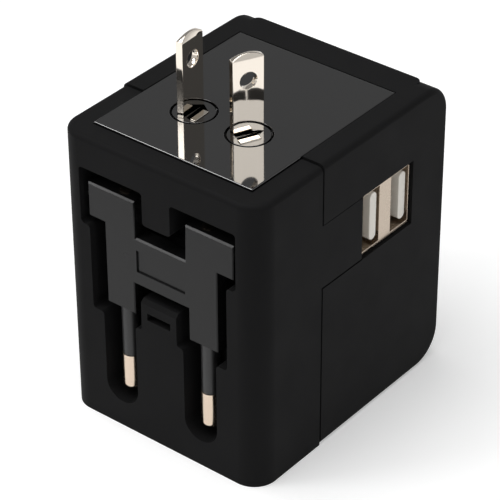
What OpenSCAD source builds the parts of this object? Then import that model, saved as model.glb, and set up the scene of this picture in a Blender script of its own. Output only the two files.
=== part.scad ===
// Universal travel adapter: a two-part case that stands on its socket face, with turning
// American/Australian prongs on top, a folding Europlug in front, a folding British plug
// behind and a double USB outlet in its right side. Millimetres, +Z up, origin at the
// middle of the base. The front face looks along -Y.

/* [Case] */
// Width of the case over the rear shell
body_w = 48.4; // [47.8:0.1:50]
// Depth of the case, front face to rear face
body_d = 58.8; // [58.5:0.1:62]
// Height of the case, base to the top of the rear shell
body_h = 64.6; // [64:0.1:68]
// Distance from the front face back to the seam between the shells
seam_from_front = 19.2; // [18.8:0.1:20.5]
// Thickness of the case walls
wall = 1.8; // [1.6:0.1:2.1]
// Radius of the two upright front corners
front_corner_r = 5.1; // [4:0.1:6]
// Radius of the rear shell's top edge at the rear face
rear_top_r = 6.4; // [5:0.1:7.5]
// Radius of the rear shell's bottom edge at the rear face
rear_bottom_r = 7.1; // [5:0.1:7.5]
// Radius of the top edges, and of the rear shell's edges all round
edge_r = 1.2; // [0.6:0.1:1.6]
// How far the rear shell stands out over the front shell at the sides
side_step = 0.1; // [0.05:0.05:0.3]
// How far the rear shell stands up over the front shell at the top
top_step = 0.45; // [0.2:0.05:0.6]

/* [Prongs] */
// Width of the glossy plate
plate_w = 37.9; // [37:0.1:39]
// Depth of the glossy plate
plate_d = 43.4; // [42.5:0.1:44]
// Distance between the centres of the two discs
disc_gap = 13.2; // [12.7:0.1:13.7]
// Radius of a disc where it shows
disc_r = 4.15; // [4:0.05:4.3]
// Width of a flat prong
prong_w = 6.35; // [6.1:0.05:6.6]
// Thickness of a flat prong
prong_t = 1.5; // [1.4:0.05:1.6]
// Height of a flat prong over the plate
prong_h = 16.9; // [15.9:0.1:18.2]
// Radius of the hole near a prong's tip
prong_hole_r = 1.75; // [1.5:0.05:1.8]
// Angle of the left prong from the American position
left_turn = 3; // [0:1:30]
// Angle of the right prong from the American position
right_turn = 25; // [0:1:30]

/* [Europlug] */
// Distance between the two round pins
eu_pin_gap = 19.9; // [19.4:0.1:20]
// Radius of a round pin's tip
eu_pin_r = 2; // [1.95:0.05:2.05]
// Length of a round pin outside the frame
eu_pin_len = 19.6; // [19:0.1:19.8]
// Length of a round pin's sleeve outside the frame
eu_sleeve_len = 11.6; // [10:0.1:12]
// Width of the frame over its ears
eu_ear_w = 35.1; // [34.6:0.1:35.4]
// Height of the frame, top of the ears to the end of the arms
eu_frame_h = 25.7; // [25:0.1:26]
// Thickness of the frame's arms
eu_arm_t = 5.4; // [5.2:0.1:5.5]
// Width of the recess that the frame folds into
eu_recess_w = 37.7; // [37.4:0.1:38]

/* [British plug] */
// Distance between the line and neutral pins
uk_pin_gap = 22.2; // [22.1:0.1:22.4]
// Distance from the line and neutral pins up to the earth pin
uk_earth_gap = 22.2; // [22.1:0.1:22.3]
// Width of a line or neutral pin
uk_pin_w = 6.35; // [6.2:0.05:6.5]
// Thickness of a line or neutral pin
uk_pin_t = 4; // [3.9:0.05:4.1]
// Length of a line or neutral pin outside the case
uk_pin_len = 17.7; // [17.2:0.1:18]
// Length of the earth pin outside the case
uk_earth_len = 22.7; // [22.2:0.1:22.8]

/* [USB outlet] */
// Width of the outlet's opening
usb_w = 16; // [15.8:0.1:16.4]
// Height of the outlet's opening
usb_h = 14.4; // [14.2:0.1:14.6]
// Distance from the seam back to the outlet's opening
usb_from_seam = 12.4; // [12.2:0.1:12.8]
// Height of the opening's bottom edge over the base
usb_z = 37.3; // [37:0.1:38]
// Height of one port's mouth
port_h = 12.5; // [12.3:0.1:12.6]
// Width of one port's mouth
port_w = 5.6; // [5.2:0.1:5.7]

/* [Fits] */
// Clearance between parts that slide or turn past each other
run_gap = 0.3; // [0.25:0.01:0.35]
// Radial clearance of a shaft in its bearing
shaft_gap = 0.05; // [0.02:0.01:0.08]
// Width of the visible line between the two shells
seam_gap = 0.24; // [0.16:0.02:0.3]
// Clearance around a plate set into a pocket
plate_gap = 0.15; // [0.1:0.01:0.2]
// Gap between a closed contact and the pin that meets it
contact_gap = 0.05; // [0.03:0.01:0.1]

/* [Hidden] */
$fn = 64;
eps = 0.01;
far = 100;

// ---- places of the case
y_front = -body_d / 2;
y_rear = body_d / 2;
y_seam = y_front + seam_from_front;
front_w = body_w - 2 * side_step;
front_h = body_h - top_step;
top_wall = 1.2;                      // under the glossy plate
rim_x = 20.3;                        // half width of the top wall's straight rear rim
rim_y = y_rear - 3.45;               // its rear edge
rim_r = 1.5;
floor_t = 1.8;                       // flange of the socket plate
floor_sink = 0.4;                    // how far that flange lies over the base
ledge_z = floor_sink + floor_t;      // underside of the ledges that the flange meets
ledge_t = 1.4;
ledge_in = 2.6;                      // how far a ledge reaches in from the wall
rear_floor_y = y_rear - rear_bottom_r - 2; // rear edge of the pocket for the socket plate
shell_in = front_w / 2 - wall;       // inner face of the side walls

// ---- glossy plate and what hangs under it
plate_t = 1.7;
plate_top = body_h;
plate_bottom = plate_top - plate_t;
plate_front = y_front + 4.85;
plate_rear = plate_front + plate_d;
plate_ledge = 2;
disc_y = y_seam + 0.1;
disc_hole_r = disc_r + 0.5;
flange_r = 5.6;
flange_t = 2;
flange_z = plate_bottom - 0.1 - flange_t;
hub_r = 4;
hub_z = flange_z - 3.4;
carrier_t = 1.8;
carrier_top = flange_z - 0.1;
carrier_x = 16.4;
carrier_y = 8.3;
post_x = 13.5;
post_y = 6.3;
post_r = 2;
clip_t = 0.8;
clip_z = carrier_top - carrier_t - 0.15 - clip_t;
groove_r = hub_r - 0.35;
prong_off = -0.8;                    // the prong stands beside the disc's centre
prong_tip = 1.3;                     // height of the bevelled tip
root_w = 5;                          // width of the prong inside the disc
foot_x = 1.2;                        // foot bar beside the prong: place, thickness and ends
foot_t = 1.25;
foot_y = [-2.9, 1.3];
root_z = hub_z - 2.9;                // end of the prong inside the case
pad_z = root_z - contact_gap;        // top of the contact pad under it
pad_t = 1.25;
bus_t = 0.8;
bus_w = 4;
bus_x = 16.1;
bus_y = disc_y - 3.6;
prong_arc_r = 5.6;                   // radius of the tip's outline
small_screw_r = 0.9;
small_head_r = 1.6;
small_screw_len = 4.4;

// ---- screws
screw_r = 1.2;
screw_head_r = 2.2;
screw_head_t = 1;
screw_len = 9;
boss_r = 2.6;
boss_x = shell_in - 3.1;
boss_y = [y_front + 5.9, y_rear - 12.9];
deck_y = [y_seam - 6.2, y_rear - 17.4];
lip_x = shell_in - 0.15;
lip_t = 1;
lip_d = 2;                           // how far the rear shell's lip reaches into the front shell

// ---- deck of the inner frame
deck_z = 22.4;
deck_t = 1.6;
deck_top = deck_z + deck_t;
deck_x = lip_x - lip_t - 0.35;
deck_front = y_seam - 8.7;
deck_rear = y_rear - 11.4;

// ---- Europlug: depth counts from the front face inwards
eu_pivot_depth = 3.6;
eu_y = y_front + eu_pivot_depth;
eu_z = 50;
eu_front_depth = 0.93;
eu_pin_depth = 3.3;
eu_barrel_r = 3.75;                  // half height of the ears, and their rounded back
eu_top = eu_z + eu_barrel_r;
eu_bottom = eu_top - eu_frame_h;
eu_pin_x = eu_pin_gap / 2;
eu_cross_top = eu_z - 4.25;
eu_cross_h = 10.5;
eu_cross_t = 3.4;
eu_core_r = 1.3;
eu_sleeve_r = 1.85;
eu_tip_z = eu_bottom - eu_pin_len;
eu_ear_top = eu_top + 3.5;           // top of the recess
eu_ear_bottom = eu_z - 5.35;
eu_mid_x = 16.65;
eu_mid_bottom = eu_bottom - 2.2;
eu_slot_r = 4;
eu_slot_end = eu_tip_z - 2.5;
eu_tab_x = 3.35;
eu_tab_bottom = eu_z + 0.25;
eu_tongue_x = 4.35;
eu_tongue_top = eu_cross_top - eu_cross_h - 2.2;
eu_depth = eu_front_depth + eu_arm_t + 0.6;
eu_deep = eu_pivot_depth + eu_barrel_r + 1.5;
eu_core_end = eu_barrel_r + 0.35;    // reach of a pin's inner end from the hinge
eu_slot_d = eu_pin_depth + eu_pin_r + 0.6;
eu_arm_in = 6.2;                     // inner faces of the arms over the crossbar
eu_arm_out = 13.65;
eu_bevel = 0.25;
eu_tongue_bevel = 0.55;
eu_tip_r = 0.9;                      // rounding of a pin's end
tub_wall = 1.5;
axle_r = 1.2;

// ---- British plug: depth counts from the rear face inwards
uk_pivot_depth = 5;
uk_y = y_rear - uk_pivot_depth;
uk_z = 11.8;
uk_front_depth = 0.6;
uk_pin_depth = 3.6;
uk_barrel_r = 4.4;
uk_bar_x = 16.8;
uk_bar_up = 4.4;                     // height of a bar over its hinge
uk_bar_t = 6;
uk_pin_x = uk_pin_gap / 2;
uk_pin_top = uk_z + uk_bar_up + uk_front_depth + uk_pin_len;
uk_sleeve_len = 9.5;
uk_core_w = 5;
uk_core_t = 2.6;
uk_core_end = uk_barrel_r + 0.05;
uk_earth_w = 4;
uk_earth_t = 8;
uk_earth_depth = 4.9;
uk_earth_z = uk_z - (uk_pivot_depth - uk_pin_depth) + uk_earth_gap + uk_pivot_depth - uk_earth_depth;
uk_earth_top = uk_earth_z + uk_bar_up + uk_front_depth + uk_earth_len;
uk_earth_bar_x = 4.5;
uk_deep = uk_pivot_depth + uk_barrel_r + 0.35;
uk_slot_x = uk_pin_w / 2 + 0.8;
uk_slot_d = uk_pin_depth + uk_pin_t / 2 + 0.5;
uk_sleeve_top = uk_z + uk_bar_up + uk_sleeve_len;

// ---- USB supply
usb_y0 = y_seam + usb_from_seam;
usb_y1 = usb_y0 + usb_w;
usb_z1 = usb_z + usb_h;
usb_recess = 0.7;
usb_len = 14;
usb_x1 = body_w / 2 - usb_recess;
board_t = 1.6;
board_y = usb_y0 - 0.2 - board_t;
board_front_x = lip_x - lip_t - 0.15;
board_top = usb_z1 + 2;
port_ys = [0.55, usb_w - 0.55 - port_w];
port_za = (usb_h - port_h) / 2;
tongue_t = 2.1;
tongue_in = 0.3;                     // how far its end lies behind the shell's mouth
tongue_gap = 0.55;                   // between the tongue and the port's rear wall
tongue_end = 0.9;                    // left free over and under the tongue

// ---- socket
socket_y = rear_floor_y - uk_earth_gap - 6.3;
well_t = 2.9;                          // depth of the wells over the flange
well_top = ledge_z + well_t;
well_x = [3.45, 15.65];                // inner and outer face of a well beside the middle
well_y = 4.6;
earth_y = socket_y + uk_earth_gap;
earth_well_x = 3.1;
earth_well_y = 5;
well_lip = 0.8;                        // collar that rests on the flange
well_front = socket_y - well_y - well_lip;
us_gap = 12.7;
au_gap = 13.7;
round_gap = 19;
shutter_t = 1.4;
shutter_z = well_top + run_gap;
shutter_w = 6;
shutter_x = 15.5;
guide_t = 1.1;
guide_lip = 0.9;
shutter_travel = 6.8;
leaf_t = 0.5;
leaf_z = 8.2;
leaf_gap = 2.05;
leaf_top = 20.8;
leaf_x = 7.7;                          // inner end of the leaves for round and British pins
leaf_w = 7.2;
flat_gap = 0.8;                        // from a flat pin's middle to its leaves
bridge_t = 0.8;
contact_d = 3.4;
contact_rear = socket_y + contact_d;
shutter_y0 = socket_y - shutter_w / 2;
guide_len = shutter_y0 + shutter_w + shutter_travel + 0.8 - well_front;
spring_y1 = earth_y - earth_well_y - well_lip;
spring_r = 1;
spring_z = shutter_z + spring_r;
fuse_x = 9.5;
fuse_y = board_y - 4.8;
fuse_z = deck_top + 0.8;
fuse_r = 2.6;
fuse_len = 20;
fuse_cap = 5;                          // length of each metal cap
clip_wall = 0.6;
clip_len = 3.6;
strip_z = fuse_z + fuse_len - 3;       // strip from the fuse to the busbar
strip_t = 1;

// ---- parts on the circuit board
bay_y = board_y + board_t;
bay_d = y_rear - uk_deep - tub_wall - bay_y; // free depth behind the board
core_x = -(deck_x - 3.8);
core_w = 16;
core_h = 15;
core_leg = 3;
core_mid = 4;
core_yoke = 2.6;
core_win = (core_w - core_mid) / 2 - core_leg;
can_r = 3.3;
can_gap = 8;
can_z = board_top - 7;
chip_t = 1.7;
chip_w = 6;                            // first chip: width, height and height over the deck
chip_h = 6;
chip_z = 6;

// ======================================================================= helpers

// A box between two corners
module span(a, b) { translate(a) cube(b - a); }

// A pair of mirror images, left and right
module both() {
    children();
    mirror([1, 0, 0]) children();
}

// A cylinder along X, centred on x
module rod_x(r, x0, x1, y, z) {
    translate([x0, y, z]) rotate([0, 90, 0]) cylinder(r = r, h = x1 - x0);
}

// What an edge radius takes off a square edge: the edge lies on the origin's Z axis
module edge_2d(r) {
    difference() {
        translate([-r, -r]) square(r + 1);
        translate([-r, -r]) circle(r);
    }
}

// An outline, square along y0 and with two rounded corners along y1
module round_end_2d(hw, y0, y1, r) {
    y_in = y1 - sign(y1 - y0) * r;
    translate([-hw, min(y0, y_in)]) square([2 * hw, abs(y_in - y0)]);
    translate([-hw + r, min(y0, y1)]) square([2 * (hw - r), abs(y1 - y0)]);
    for (k = [-1, 1]) translate([k * (hw - r), y_in]) circle(r);
}

// Edge cutter along Y, for the right-hand top edge
module cut_y(x, y0, y1, top, r) {
    translate([x, y1, top]) rotate([90, 0, 0]) linear_extrude(y1 - y0) edge_2d(r);
}

// Edge cutter along X, for a top edge that faces the rear
module cut_x(hw, y, top, r) {
    translate([-hw, y, top]) rotate([90, 0, 90]) linear_extrude(2 * hw) edge_2d(r);
}

// A countersunk cross-head screw that points up, its head's face at the origin
module screw(len, head_r, r) {
    difference() {
        union() {
            cylinder(r = head_r, h = head_r > 2 ? screw_head_t : 0.7);
            cylinder(r = r, h = len);
        }
        for (a = [0, 90]) rotate(a) translate([-0.6 * head_r, -0.2, -eps])
            cube([1.2 * head_r, 0.4, 0.4]);
    }
}

// A plate in the front view: x and z corners, from the front face inwards
module front_block(x0, x1, z0, z1, d) {
    span([x0, y_front - 1, z0], [x1, y_front + d, z1]);
}

// The same from the rear face inwards
module rear_block(x0, x1, z0, z1, d) {
    span([x0, y_rear - d, z0], [x1, y_rear + 1, z1]);
}

// ======================================================================= case

// Everything that the folded Europlug needs free, m larger all round
module eu_recess(m) {
    hw = eu_recess_w / 2;
    front_block(-hw - m, hw + m, eu_ear_bottom - m, eu_ear_top + m, eu_deep + m);
    front_block(-eu_mid_x - m, eu_mid_x + m, eu_mid_bottom - m, eu_ear_top + m, eu_depth + m);
    both() {
        front_block(eu_pin_x - eu_slot_r - m, eu_pin_x + eu_slot_r + m,
            eu_slot_end + eu_slot_r, eu_mid_bottom + 1, eu_slot_d + m);
        translate([eu_pin_x, y_front + eu_slot_d + m, eu_slot_end + eu_slot_r]) rotate([90, 0, 0])
            cylinder(r = eu_slot_r + m, h = eu_slot_d + m + 1);
    }
}

// Tab over the middle of the Europlug's recess, and the tongue under it
module eu_tab_and_tongue() {
    span([-eu_tab_x, y_front, eu_tab_bottom], [eu_tab_x, y_front + eu_deep + 1, eu_ear_top + 1]);
    difference() {
        span([-eu_tongue_x, y_front, eu_mid_bottom - 1],
            [eu_tongue_x, y_front + eu_depth + 1, eu_tongue_top]);
        // bevelled upper edge, and a slot for a finger nail
        translate([-eu_tongue_x - 1, y_front, eu_tongue_top]) rotate([45, 0, 0])
            translate([0, -eu_tongue_bevel, -eu_tongue_bevel])
                cube([2 * eu_tongue_x + 2, 2 * eu_tongue_bevel, 2 * eu_tongue_bevel]);
        span([-2.85, y_front - 1, eu_tongue_top - 4.3], [2.85, y_front + 1.6, eu_tongue_top - 2.7]);
    }
}

// A post for a screw, joined to the side wall
module boss(y, z0, z1) {
    translate([boss_x, y, z0]) cylinder(r = boss_r, h = z1 - z0);
    span([boss_x, y - 1.2, z0], [body_w / 2 - side_step - 1, y + 1.2, z1]);
}

module bore(y, z0, z1, r) {
    translate([boss_x, y, z0]) cylinder(r = r, h = z1 - z0);
}

// Room in the top for the glossy plate and for what hangs under it
module plate_pocket() {
    hw = plate_w / 2 + plate_gap;
    span([-hw, plate_front - plate_gap, plate_bottom], [hw, plate_rear + plate_gap, body_h + 1]);
    span([-hw + plate_ledge, plate_front + plate_ledge, plate_bottom - top_wall - 1],
        [hw - plate_ledge, plate_rear - plate_ledge, plate_bottom + 1]);
}

module front_outer() {
    hw = front_w / 2;
    rc = front_corner_r;
    y1 = y_seam - seam_gap / 2;
    difference() {
        union() {
            linear_extrude(front_h) round_end_2d(hw, y1, y_front, rc);
            // the band on the right that reaches back to the USB outlet
            span([hw - wall, y1 - 1, usb_z + 0.15], [hw, usb_y0, usb_z1 - 0.35]);
        }
        both() {
            cut_y(hw, y_front + rc, y1 + 1, front_h, edge_r);
            translate([hw - rc, y_front + rc, front_h]) rotate([0, 0, -90])
                rotate_extrude(angle = 90) translate([rc, 0]) edge_2d(edge_r);
        }
        translate([hw - rc, y_front, front_h]) rotate([90, 0, -90])
            linear_extrude(2 * (hw - rc)) edge_2d(edge_r);
    }
}

module front_shell() color("#26262a") {
    hw = front_w / 2;
    y1 = y_seam - seam_gap / 2;
    difference() {
        union() {
            difference() {
                front_outer();
                translate([0, 0, -1]) linear_extrude(plate_bottom - top_wall + 1)
                    round_end_2d(hw - wall, y1 + 1, y_front + wall, front_corner_r - wall);
            }
            intersection() {
                union() {
                    eu_recess(tub_wall);
                    // ledge that the socket plate is screwed up against
                    difference() {
                        span([-hw, y_front, ledge_z], [hw, y1, ledge_z + ledge_t]);
                        span([-hw + wall + ledge_in, y_front + wall + ledge_in, 0],
                            [hw - wall - ledge_in, y1 + 1, far]);
                    }
                    both() {
                        boss(boss_y[0], ledge_z, 12);
                        boss(deck_y[0], 11, deck_z);
                    }
                }
                linear_extrude(front_h - 1) round_end_2d(hw, y1, y_front, front_corner_r);
            }
        }
        difference() {
            eu_recess(0);
            eu_tab_and_tongue();
        }
        plate_pocket();
        both() {
            bore(boss_y[0], 0, 12 - 1.5, screw_r);
            bore(deck_y[0], deck_z - 8.5, deck_z + 1, screw_r);
            // seats of the hinge pins, and windows for the contacts
            rod_x(axle_r + shaft_gap, eu_recess_w / 2 - 1, eu_recess_w / 2 + tub_wall + 1, eu_y, eu_z);
            span([eu_pin_x - 2.7, y_front + eu_deep - 1, eu_z + 0.3 - 2.6],
                [eu_pin_x + 2.7, y_front + eu_deep + tub_wall + 1, eu_z + 0.3 + 2.6]);
        }
    }
}

// Everything that the folded British plug needs free, m larger all round
module uk_recess(m) {
    hw = uk_bar_x + 0.5;
    rear_block(-hw - m, hw + m, uk_z - uk_barrel_r - 0.5 - m, uk_z + uk_bar_up + 0.7 + m, uk_deep + m);
    both() rear_block(uk_pin_x - uk_slot_x - m, uk_pin_x + uk_slot_x + m,
        uk_z + uk_bar_up - 1, uk_pin_top + 1 + m, uk_slot_d + m);
    both() rear_block(uk_pin_x - uk_slot_x - m, hw + m, uk_pin_top - 8 - m, uk_pin_top + 1 + m,
        uk_slot_d + m);
    rear_block(-uk_earth_bar_x - 0.5 - m, uk_earth_bar_x + 0.5 + m, uk_earth_z - uk_barrel_r - 0.5 - m,
        uk_earth_z + uk_bar_up + 0.7 + m, uk_deep + m);
    rear_block(-uk_earth_w / 2 - 0.8 - m, uk_earth_w / 2 + 0.8 + m, uk_earth_z,
        uk_earth_top + 0.9 + m, uk_deep + m);
    rear_block(-uk_earth_bar_x - 0.5 - m, uk_earth_bar_x + 0.5 + m, uk_earth_top - 9 - m,
        uk_earth_top + 0.9 + m, uk_deep + m);
}

// Side view of the rear shell
module rear_side_2d() {
    y0 = y_seam + seam_gap / 2;
    y_top = y_rear - rear_top_r;
    y_bottom = y_rear - rear_bottom_r;
    translate([y0, rear_bottom_r]) square([y_rear - y0, body_h - rear_top_r - rear_bottom_r]);
    translate([y0, 0]) square([y_bottom - y0, body_h]);
    translate([y0, body_h / 2]) square([y_top - y0, body_h / 2]);
    translate([y_bottom, rear_bottom_r]) circle(rear_bottom_r);
    translate([y_top, body_h - rear_top_r]) circle(rear_top_r);
}

// A quarter ring that rounds the right-hand side along one of the big radii
module rear_side_bend(z, r, turn) {
    translate([body_w / 2, y_rear - r, z]) rotate([0, 90, 0]) rotate(turn)
        rotate_extrude(angle = 90) translate([r, 0]) edge_2d(edge_r);
}

module rear_outer() {
    hw = body_w / 2;
    y0 = y_seam + seam_gap / 2;
    difference() {
        union() {
            translate([-hw, 0, 0]) rotate([90, 0, 90]) linear_extrude(body_w) rear_side_2d();
            // the top wall runs straight back to its rim
            translate([0, 0, body_h - rear_top_r / 2]) linear_extrude(rear_top_r / 2)
                round_end_2d(rim_x, y_rear - rear_top_r - 1, rim_y, rim_r);
        }
        both() {
            cut_y(hw, y0 - 1, y_rear - rear_top_r, body_h, edge_r);
            mirror([0, 0, 1]) cut_y(hw, y0 - 1, y_rear - rear_bottom_r, 0, edge_r);
            translate([hw, y_rear, rear_bottom_r])
                linear_extrude(body_h - rear_top_r - rear_bottom_r) edge_2d(edge_r);
            rear_side_bend(body_h - rear_top_r, rear_top_r, 90);
            rear_side_bend(rear_bottom_r, rear_bottom_r, 0);
        }
    }
}

module rear_shell() color("#232327") {
    hw = body_w / 2;
    y0 = y_seam + seam_gap / 2;
    top_in = plate_bottom - top_wall;
    lip_z0 = ledge_z + ledge_t + 0.4;
    difference() {
        union() {
            difference() {
                rear_outer();
                translate([0, 0, -1]) linear_extrude(9)
                    round_end_2d(hw - wall, y0 - 1, rear_floor_y, 0.5);
                difference() {
                    translate([0, 0, 7]) linear_extrude(top_in - 7)
                        round_end_2d(hw - wall, y0 - 1, y_rear - wall, 1.5);
                    cut_x(hw, y_rear - wall, top_in, rear_top_r - wall);
                }
            }
            intersection() {
                union() {
                    uk_recess(tub_wall);
                    difference() {
                        span([-hw, y0, ledge_z], [hw, rear_floor_y + 1, ledge_z + ledge_t]);
                        span([-hw + wall + ledge_in, y0 - 1, 0],
                            [hw - wall - ledge_in, rear_floor_y, far]);
                    }
                    both() {
                        boss(boss_y[1], ledge_z, 12);
                        boss(deck_y[1], 11, deck_z);
                    }
                }
                rear_outer();
            }
            // lip inside the front shell, on a root that joins it to the walls
            difference() {
                union() {
                    span([-lip_x, y0 - lip_d, lip_z0], [lip_x, y0 + 2, top_in - 0.15]);
                    span([-lip_x - 1, y0, lip_z0], [lip_x + 1, y0 + 2, top_in - 0.15]);
                }
                span([-lip_x + lip_t, y0 - lip_d - 1, 0], [lip_x - lip_t, y0 + 3, far]);
                span([lip_x - lip_t - 1, y0 - lip_d - 1, usb_z - 0.5], [hw, y0 + 3, usb_z1 + 0.5]);
            }
        }
        uk_recess(0);
        plate_pocket();
        // USB outlet, and room for the front shell's band
        span([hw - wall - 1, usb_y0, usb_z], [hw + 1, usb_y1, usb_z1]);
        span([hw - wall - 1, y0 - 3, usb_z - 0.1], [hw + 1, usb_y0 + eps, usb_z1 - 0.1]);
        both() {
            bore(boss_y[1], 0, 12 - 1.5, screw_r);
            bore(deck_y[1], deck_z - 8.5, deck_z + 1, screw_r);
            rod_x(axle_r + shaft_gap, uk_bar_x - 1, uk_bar_x + 0.5 + tub_wall + 1, uk_y, uk_z);
            rod_x(axle_r + shaft_gap, uk_earth_bar_x - 1, uk_earth_bar_x + 0.5 + tub_wall + 1,
                uk_y, uk_earth_z);
            span([uk_pin_x - 3, y_rear - uk_deep - tub_wall - 1, uk_z - 1.4 - 2.4],
                [uk_pin_x + 3, y_rear - uk_deep + 1, uk_z - 1.4 + 2.4]);
        }
    }
}

module prong_plate() color("#303034") {
    difference() {
        union() {
            span([-plate_w / 2, plate_front, plate_bottom], [plate_w / 2, plate_rear, plate_top]);
            // posts for the carrier
            both() for (s = [-1, 1])
                translate([post_x, disc_y + s * post_y, carrier_top]) cylinder(r = post_r, h = 3);
        }
        both() {
            translate([disc_gap / 2, disc_y, plate_bottom - 1]) cylinder(r = disc_hole_r, h = 5);
            for (s = [-1, 1]) translate([post_x, disc_y + s * post_y, carrier_top - 1])
                cylinder(r = small_screw_r, h = 3.4);
        }
    }
}

// Right-hand aperture of the socket: round, American, Australian and British pins
module pin_aperture() {
    h = well_top + 2;
    translate([round_gap / 2, socket_y, -1]) cylinder(r = 2.6, h = h);
    span([us_gap / 2 - 0.95, socket_y - 3.6, -1], [us_gap / 2 + 0.95, socket_y + 3.6, h]);
    translate([au_gap / 2, socket_y, -1]) rotate(30) translate([-0.95, -3.5, 0]) cube([1.9, 7, h]);
    span([uk_pin_gap / 2 - 3.5, socket_y - 2.3, -1], [uk_pin_gap / 2 + 3.5, socket_y + 2.3, h]);
}

// A block in a window of the flange, with a collar that rests on it
module well(x0, x1, y, hy) {
    span([x0, y - hy, floor_sink], [x1, y + hy, ledge_z + eps]);
    span([x0, y - hy - well_lip, ledge_z], [x1, y + hy + well_lip, well_top]);
}

module socket_plate() color("#1f1f22") {
    fx = lip_x;
    guide_x = shutter_x + run_gap;
    guide_top = shutter_z + shutter_t + run_gap;
    difference() {
        union() {
            difference() {
                span([-fx, y_front + wall + plate_gap, floor_sink],
                    [fx, rear_floor_y - plate_gap, ledge_z]);
                // the flange's front corners follow the shell
                both() translate([fx, y_front + wall + plate_gap, 0]) rotate(-45)
                    translate([-2.6, -5, -1]) cube([5.2, 10, 5]);
            }
            // guides of the shutter, each with a stop at its front end
            both() {
                span([guide_x, well_front, ledge_z - 1],
                    [guide_x + guide_t, well_front + guide_len, guide_top + 0.6]);
                span([shutter_x - guide_lip, well_front, guide_top],
                    [guide_x + guide_t, well_front + guide_len, guide_top + 0.6]);
                span([shutter_x - guide_lip, well_front, shutter_z],
                    [guide_x + guide_t, shutter_y0 - run_gap, guide_top + 0.6]);
            }
        }
        // windows for the wells
        both() span([well_x[0] - plate_gap, socket_y - well_y - plate_gap, -1],
            [well_x[1] + plate_gap, socket_y + well_y + plate_gap, ledge_z + 1]);
        span([-earth_well_x - plate_gap, earth_y - earth_well_y - plate_gap, -1],
            [earth_well_x + plate_gap, earth_y + earth_well_y + plate_gap, ledge_z + 1]);
        both() for (y = boss_y) {
            bore(y, 0, far, screw_r + 0.15);
            bore(y, -1, floor_sink + 0.15 + screw_head_t, screw_head_r + 0.15);
        }
    }
}

// Block that holds the apertures of one side
module pin_well() {
    difference() {
        well(well_x[0], well_x[1], socket_y, well_y);
        pin_aperture();
    }
}

module socket_well_left() color("#1a1a1c") mirror([1, 0, 0]) pin_well();
module socket_well_right() color("#1a1a1c") pin_well();

// Block around the earth aperture, with the wall that the shutter's spring leans on
module socket_well_earth() color("#1a1a1c") {
    difference() {
        union() {
            well(-earth_well_x, earth_well_x, earth_y, earth_well_y);
            span([-earth_well_x, spring_y1, well_top - 1],
                [earth_well_x, spring_y1 + 1.2, spring_z + spring_r + 0.6]);
        }
        span([-2.1, earth_y - 4.1, -1], [2.1, earth_y + 4.1, far]);
    }
}

// Screws: four up through the socket plate, four down through the deck
module case_screws() color("#9a9a98") {
    for (sx = [-1, 1]) for (y = boss_y)
        translate([sx * boss_x, y, floor_sink + 0.15]) screw(screw_len, screw_head_r, screw_r);
    for (sx = [-1, 1]) for (y = deck_y)
        translate([sx * boss_x, y, deck_top + screw_head_t]) mirror([0, 0, 1])
            screw(screw_len, screw_head_r, screw_r);
}

// Deck that carries the contacts and the electronics
module inner_frame() color("#3c3c40") {
    slot_x = deck_x - 1.8;
    difference() {
        union() {
            span([-deck_x, deck_front, deck_z], [deck_x, deck_rear, deck_top]);
            // posts that back the busbars, and the spine between them
            both() span([bus_x - bus_w / 2, bus_y + bus_t, deck_top - 1],
                [bus_x + bus_w / 2, bus_y + bus_t + 1.6, pad_z - pad_t]);
            // slots that hold the circuit board's foot
            span([-slot_x, board_y - 1.3, deck_top - 1], [slot_x, board_y - 0.1, deck_top + 2]);
            span([-slot_x, bay_y + 0.1, deck_top - 1], [-slot_x + 10, bay_y + 1.3, deck_top + 2]);
        }
        both() {
            for (y = deck_y) bore(y, deck_z - 1, deck_top + 1, screw_r + 0.1);
            span([bus_x - bus_w / 2 - 0.1, bus_y - 0.1, deck_z - 1],
                [bus_x + bus_w / 2 + 0.1, bus_y + bus_t, deck_top + 1]);
        }
        // room over the earth pin of a plug
        span([-2.6, earth_y - 4.6, deck_z - 1], [2.6, earth_y + 4.6, deck_z + 1]);
        // way up for the fuse's tail
        translate([-fuse_x, fuse_y, deck_z - 1]) cylinder(r = 0.9, h = 4);
    }
}

// ======================================================================= prongs

// Flat prong, its broad side towards X, standing beside the disc's centre
module prong() {
    zt = plate_top + prong_h;
    difference() {
        union() {
            intersection() {
                span([prong_off - prong_t / 2, -prong_w / 2, flange_z - 0.6],
                    [prong_off + prong_t / 2, prong_w / 2, zt]);
                // bevelled tip
                translate([prong_off, 0, 0]) rotate([90, 0, 0]) linear_extrude(prong_w, center = true)
                    polygon([[-prong_t / 2, 0], [prong_t / 2, 0], [prong_t / 2, zt - prong_tip],
                        [prong_t / 6, zt], [-prong_t / 6, zt], [-prong_t / 2, zt - prong_tip]]);
                // its outline is an arc
                union() {
                    span([-far, -far, 0], [far, far, zt - prong_arc_r]);
                    rod_x(prong_arc_r, -far, far, 0, zt - prong_arc_r);
                }
            }
            span([prong_off - prong_t / 2, -root_w / 2, root_z],
                [prong_off + prong_t / 2, root_w / 2, flange_z]);
            // foot bar beside the prong, and the web that joins them under the disc
            span([foot_x, foot_y[0], flange_z + 0.8], [foot_x + foot_t, foot_y[1], plate_top + 0.15]);
        }
        rod_x(prong_hole_r, -far, far, 0, plate_top + 11.35);
    }
}

module left_prong() color("#c9c5bd")
    translate([-disc_gap / 2, disc_y, 0]) rotate(left_turn) prong();

module right_prong() color("#c9c5bd")
    translate([disc_gap / 2, disc_y, 0]) rotate(-right_turn) prong();

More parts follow.
